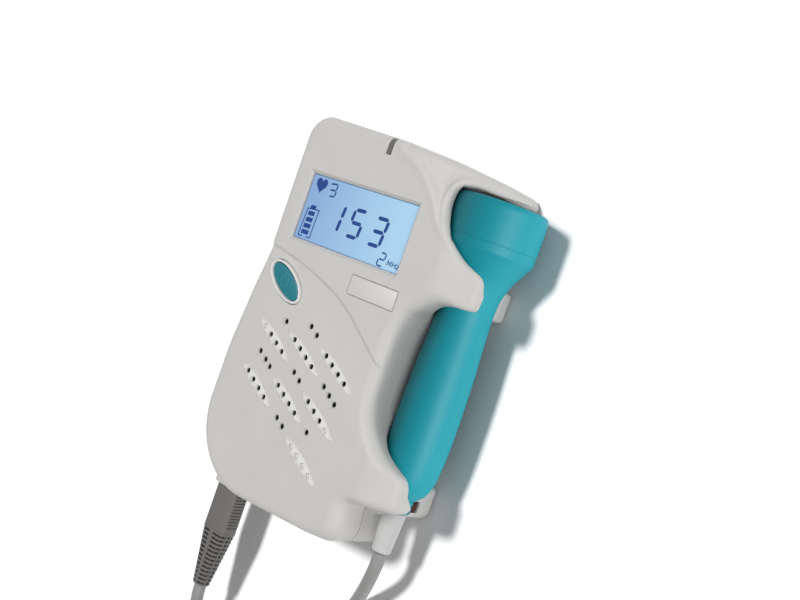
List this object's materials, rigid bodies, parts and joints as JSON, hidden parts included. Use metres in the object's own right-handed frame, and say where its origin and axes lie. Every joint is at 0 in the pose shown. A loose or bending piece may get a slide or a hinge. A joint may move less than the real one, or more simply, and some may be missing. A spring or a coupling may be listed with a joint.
{
  "type": "fetal doppler monitor",
  "caption": "Handheld fetal doppler with a sloping display case, a round-headed ultrasound probe docked in its right side, and the probe's coiled lead plugged into its lower end.",
  "frame": {"origin": "centre of the case's outline on the plane that its back lies on, without the lead and plug", "axes": "+X to the side where the probe slides out, +Y to the end that holds the probe's head, +Z out of the display"},
  "size_m": [0.1021, 0.2534, 0.0357],
  "materials": {
    "case_plastic": "warm light grey, satin",
    "trim_plastic": "light grey, satin",
    "teal_plastic": "teal, semi-gloss",
    "probe_face_resin": "pale grey, semi-gloss",
    "clear_plastic": "clear, polished",
    "grey_lens": "dark grey, translucent",
    "lcd_glass": "light blue, backlit",
    "white_diffuser": "white, matte",
    "black_plastic": "black, satin",
    "dark_plastic": "dark grey, satin",
    "soft_rubber": "black, matte",
    "maroon_rubber": "dark maroon, matte",
    "circuit_board": "green solder mask",
    "plated_steel": "zinc plated",
    "nickel": "nickel plated",
    "gold_plate": "gold plated",
    "ceramic": "unglazed",
    "cell_sleeve": "blue sleeve",
    "plug_rubber": "dark grey, matte",
    "boot_rubber": "light grey, satin",
    "cord_jacket": "mid grey, satin"
  },
  "bodies": {
    "unit": {"front_shell": "case_plastic", "rear_shell": "case_plastic", "display_window": "clear_plastic", "display_gasket": "soft_rubber", "lcd_panel": "lcd_glass", "lcd_backlight": "white_diffuser", "button_ring": "trim_plastic", "tact_switch": "black_plastic", "name_plate": "trim_plastic", "indicator_lens": "grey_lens", "speaker_frame": "plated_steel", "speaker_cone": "black_plastic", "speaker_magnet": "plated_steel", "main_board": "circuit_board", "main_chip": "black_plastic", "sound_chip": "black_plastic", "doppler_board": "circuit_board", "doppler_chip": "black_plastic", "battery_cell_1": "cell_sleeve", "battery_cell_2": "cell_sleeve", "battery_cell_3": "cell_sleeve", "contact_strip_low": "nickel", "contact_strip_high": "nickel", "battery_tray": "dark_plastic", "case_screw_1": "nickel", "case_screw_2": "nickel", "case_screw_3": "nickel", "case_screw_4": "nickel", "volume_control": "black_plastic", "audio_jack": "black_plastic", "charger_jack": "black_plastic", "socket_collar": "trim_plastic", "plug_socket": "nickel", "dock_bumper": "maroon_rubber", "cord_coil": "cord_jacket", "cord_tie": "black_plastic", "cord_probe_run": "cord_jacket", "cord_plug_run": "cord_jacket"},
    "power_button": {"power_button": "teal_plastic"},
    "volume_wheel": {"volume_wheel": "dark_plastic"},
    "battery_door": {"battery_door": "case_plastic"},
    "probe": {"probe_head_cap": "teal_plastic", "probe_face": "probe_face_resin", "crystal_sender": "ceramic", "crystal_receiver": "ceramic", "probe_backing": "black_plastic", "probe_handle": "teal_plastic", "probe_board": "circuit_board", "probe_tail": "teal_plastic", "probe_boot": "boot_rubber"},
    "plug": {"plug_grip": "plug_rubber", "plug_relief": "plug_rubber", "plug_barrel": "nickel", "plug_insert": "gold_plate"}
  },
  "joints": [
    {"name": "power_press", "type": "slide", "parent": "unit", "child": "power_button", "axis": [0, 0, -1], "range_m": [0, 0.0008], "stiffness_N_per_m": 1500},
    {"name": "volume_turn", "type": "hinge", "parent": "unit", "child": "volume_wheel", "pos_m": [-0.0402, 0.044, 0.0135], "axis": [0, 0, 1], "range_deg": [-150, 150]},
    {"name": "battery_door_slide", "type": "slide", "parent": "unit", "child": "battery_door", "axis": [0, -1, 0], "range_m": [0, 0.04]},
    {"name": "probe_undock", "type": "slide", "parent": "unit", "child": "probe", "axis": [1, 0, 0], "range_m": [0, 0.04], "deforming": ["cord_probe_run"]},
    {"name": "plug_unplug", "type": "slide", "parent": "unit", "child": "plug", "axis": [0, -1, 0], "range_m": [0, 0.016], "deforming": ["cord_plug_run"]}
  ]
}
